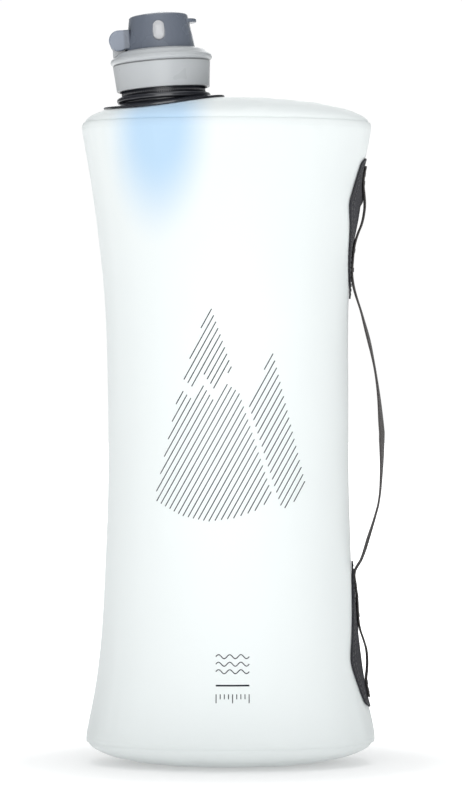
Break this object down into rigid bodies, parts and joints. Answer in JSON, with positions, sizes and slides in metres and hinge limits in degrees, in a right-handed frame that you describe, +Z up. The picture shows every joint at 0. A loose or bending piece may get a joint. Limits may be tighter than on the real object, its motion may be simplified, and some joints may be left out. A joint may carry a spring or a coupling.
{
  "type": "collapsible water bag",
  "caption": "Soft hourglass water bag of frosted film with a threaded neck, screw collar, hinged flip lid and webbing carry strap.",
  "frame": {"origin": "centre of the flat on the bottom panel that the full bag stands on", "axes": "+Z up along the bag; +X towards the carry strap; -Y the printed front. The neck stands off centre towards -X and leans 4 degrees that way"},
  "size_m": [0.1431, 0.1146, 0.3563],
  "materials": {
    "film": "frosted translucent film, soft satin sheen",
    "neck_black": "semi-gloss moulded black",
    "collar_grey": "satin light grey",
    "lid_slate": "satin slate grey",
    "silicone": "matt silicone",
    "pin_steel": "drawn wire",
    "patch_fabric": "fine plain weave, laminated",
    "webbing": "flat woven webbing",
    "thread": "dense bar-tack thread"
  },
  "bodies": {
    "bag": {"body_sleeve": "film", "top_panel": "film", "bottom_panel": "film", "neck": "neck_black", "upper_patch": "patch_fabric", "lower_patch": "patch_fabric", "strap_upper_end": "webbing", "strap_lower_end": "webbing", "upper_bartacks": "thread", "lower_bartacks": "thread"},
    "cap_seal": {"cap_gasket": "silicone"},
    "cap": {"cap_collar": "collar_grey", "hinge_pin": "pin_steel"},
    "lid": {"flip_lid": "lid_slate", "lid_plug": "silicone"},
    "strap_handle": {"carry_strap": "webbing"}
  },
  "joints": [
    {"name": "cap_lift", "type": "slide", "parent": "bag", "child": "cap_seal", "axis": [-0.0698, 0, 0.9976], "range_m": [0, 0.0135]},
    {"name": "cap_turn", "type": "hinge", "parent": "cap_seal", "child": "cap", "pos_m": [-0.03, 0, 0.3133], "axis": [-0.0698, 0, 0.9976], "range_deg": [0, 540]},
    {"name": "lid_flip", "type": "hinge", "parent": "cap", "child": "lid", "pos_m": [-0.05117, 0, 0.34219], "axis": [0, -1, 0], "range_deg": [0, 155]},
    {"name": "strap_swing", "type": "hinge", "parent": "bag", "child": "strap_handle", "pos_m": [0.0642, 0, 0.157], "axis": [0, 0, 1], "range_deg": [-25, 25]}
  ],
  "couplings": [
    {"joint": "cap_lift", "follows": "cap_turn", "m_per_rad": 0.0014324}
  ]
}
